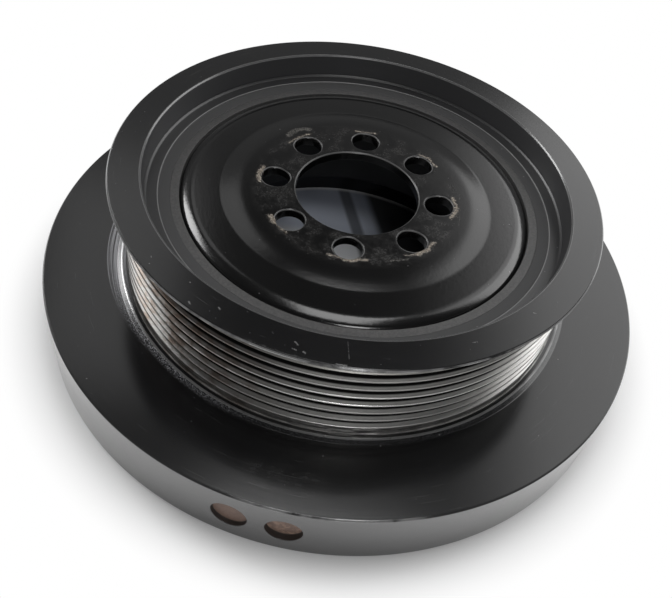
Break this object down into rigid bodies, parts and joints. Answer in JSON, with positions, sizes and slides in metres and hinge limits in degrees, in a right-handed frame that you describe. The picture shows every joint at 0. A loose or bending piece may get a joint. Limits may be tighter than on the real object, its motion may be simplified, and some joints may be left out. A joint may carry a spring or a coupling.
{
  "type": "harmonic balancer",
  "caption": "Crankshaft harmonic balancer: dished hub with a pilot bore and bolt circle, rubber ring, ribbed belt pulley and heavy inertia disc.",
  "frame": {"origin": "on the crank axis, at the hub's back face, where it seats on the crankshaft", "axes": "+Z along the crank axis towards the front flange; +X through the middle of one bolt hole"},
  "size_m": [0.1932, 0.1932, 0.0557],
  "materials": {
    "hub_coat": "satin",
    "ring_metal": "satin black coat on the faces, bare steel on the belt track",
    "rubber": "matt"
  },
  "bodies": {
    "root": {"hub": "hub_coat", "rubber_ring": "rubber", "outer_ring": "ring_metal"}
  },
  "joints": []
}
